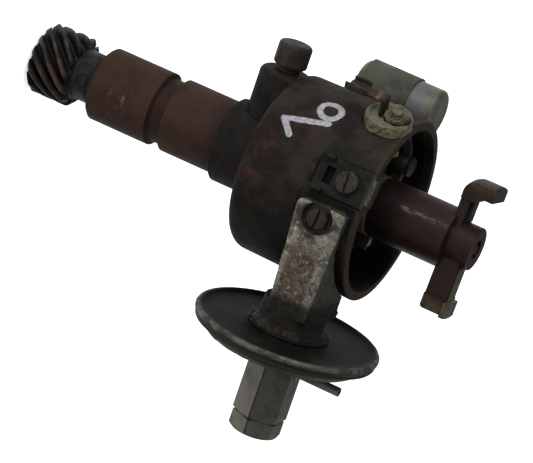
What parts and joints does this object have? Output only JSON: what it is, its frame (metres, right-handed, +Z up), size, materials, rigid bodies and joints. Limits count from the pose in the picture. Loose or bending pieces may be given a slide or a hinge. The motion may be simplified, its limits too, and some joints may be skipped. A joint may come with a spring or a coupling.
{
  "type": "ignition distributor",
  "caption": "Contact-breaker ignition distributor with cap removed: cast bowl and shank, helical drive gear, rotor arm, vacuum advance unit, condenser, low-tension terminal and grease cup.",
  "frame": {"origin": "on the shaft axis, in the plane of the shank's shoulder that seats on the engine block", "axes": "+Z up the shaft towards the rotor, +X towards the vacuum unit, -X towards the grease cup, -Y the side with the vacuum arm's screw and the near clip bracket"},
  "size_m": [0.1269, 0.1001, 0.1767],
  "materials": {
    "cast_iron_body": "rust-browned machined and cast iron",
    "bronze": "sintered bronze",
    "gear_steel": "oil-darkened hardened steel",
    "shaft_steel": "ground steel",
    "weight_steel": "sintered steel, oily",
    "spring_steel": "spring steel wire",
    "plate_steel": "zinc plated sheet, yellowed",
    "cam_steel": "hardened and ground",
    "screw_steel": "dulled plated steel",
    "fibre": "laminated fibre",
    "tungsten": "contact metal",
    "insulator": "yellowed moulded insulator",
    "lug_copper": "tarnished tinned copper",
    "can_zinc": "dull zinc plated can",
    "bracket_steel": "dark oxidised sheet steel",
    "cast_alloy": "corroded die-cast alloy",
    "dish_steel": "dark grey pressed steel",
    "rubber_fabric": "rubber-faced fabric",
    "hex_steel": "dull plated steel",
    "cup_iron": "rust-browned steel",
    "bakelite": "brown phenolic moulding"
  },
  "bodies": {
    "housing": {"housing": "cast_iron_body", "bush_lower": "bronze", "bush_upper": "bronze", "base_plate": "plate_steel", "base_screw_a": "screw_steel", "base_screw_b": "screw_steel", "terminal_block": "fibre", "terminal_insulator": "insulator", "terminal_stud": "screw_steel", "terminal_washer": "lug_copper", "terminal_nut": "screw_steel", "terminal_lug": "lug_copper", "condenser_can": "can_zinc", "condenser_strap": "can_zinc", "strap_screw": "screw_steel", "clip_bracket_a": "bracket_steel", "clip_bracket_b": "bracket_steel", "clip_screw_a": "screw_steel", "clip_screw_b": "screw_steel", "vacuum_bracket": "cast_alloy", "vacuum_screw": "screw_steel", "dish_front": "dish_steel", "dish_back": "dish_steel", "diaphragm": "rubber_fabric", "spring_housing": "hex_steel", "end_plug": "hex_steel", "vacuum_spring": "spring_steel", "vacuum_pipe": "hex_steel", "grease_cup_base": "cup_iron"},
    "drive_shaft": {"drive_shaft": "shaft_steel", "drive_gear": "gear_steel", "gear_pin": "shaft_steel", "thrust_washer": "gear_steel", "governor_plate": "plate_steel", "governor_spring_a": "spring_steel", "governor_spring_b": "spring_steel"},
    "flyweight_a": {"flyweight_a": "weight_steel"},
    "flyweight_b": {"flyweight_b": "weight_steel"},
    "cam_and_rotor": {"cam": "cam_steel", "cam_screw": "screw_steel", "rotor": "bakelite", "rotor_electrode": "lug_copper", "rotor_spring": "lug_copper", "rotor_button": "lug_copper"},
    "breaker_plate": {"moving_plate": "plate_steel", "pivot_post": "gear_steel", "fixed_contact": "tungsten", "contact_bracket": "plate_steel", "contact_screw": "screw_steel", "breaker_spring": "spring_steel"},
    "breaker_arm": {"breaker_arm": "plate_steel", "breaker_heel": "fibre", "moving_contact": "tungsten"},
    "vacuum_rod": {"pull_rod": "plate_steel"},
    "grease_cap": {"grease_cup_cap": "cup_iron"}
  },
  "joints": [
    {"name": "shaft_spin", "type": "hinge", "parent": "housing", "child": "drive_shaft", "pos_m": [0, 0, 0], "axis": [0, 0, -1], "continuous": true},
    {"name": "centrifugal_advance", "type": "hinge", "parent": "drive_shaft", "child": "cam_and_rotor", "pos_m": [0, 0, 0], "axis": [0, 0, -1], "range_deg": [0, 12], "stiffness_Nm_per_rad": 0.25, "deforming": ["governor_spring_a", "governor_spring_b"]},
    {"name": "flyweight_a_swing", "type": "hinge", "parent": "drive_shaft", "child": "flyweight_a", "pos_m": [0, 0.017, 0.0306], "axis": [0, 0, 1], "range_deg": [0, 12]},
    {"name": "flyweight_b_swing", "type": "hinge", "parent": "drive_shaft", "child": "flyweight_b", "pos_m": [0, -0.017, 0.0306], "axis": [0, 0, 1], "range_deg": [0, 12]},
    {"name": "vacuum_advance", "type": "hinge", "parent": "housing", "child": "breaker_plate", "pos_m": [0, 0, 0.0497], "axis": [0, 0, 1], "range_deg": [0, 8], "stiffness_Nm_per_rad": 0.5},
    {"name": "pull_rod_slide", "type": "slide", "parent": "housing", "child": "vacuum_rod", "axis": [1, 0, 0], "range_m": [0, 0.00366], "deforming": ["diaphragm", "vacuum_spring"]},
    {"name": "breaker_arm_pivot", "type": "hinge", "parent": "breaker_plate", "child": "breaker_arm", "pos_m": [-0.012, 0.0193, 0.056], "axis": [0, 0, 1], "range_deg": [-0.6, 5], "stiffness_Nm_per_rad": 0.1, "deforming": ["breaker_spring"]},
    {"name": "grease_cap_turn", "type": "hinge", "parent": "housing", "child": "grease_cap", "pos_m": [-0.0375, 0, 0.0126], "axis": [-1, 0, 0], "range_deg": [0, 360]}
  ],
  "couplings": [
    {"joint": "flyweight_a_swing", "follows": "centrifugal_advance", "ratio": 0.94},
    {"joint": "flyweight_b_swing", "follows": "centrifugal_advance", "ratio": 0.94},
    {"joint": "pull_rod_slide", "follows": "vacuum_advance", "m_per_rad": 0.025479}
  ]
}
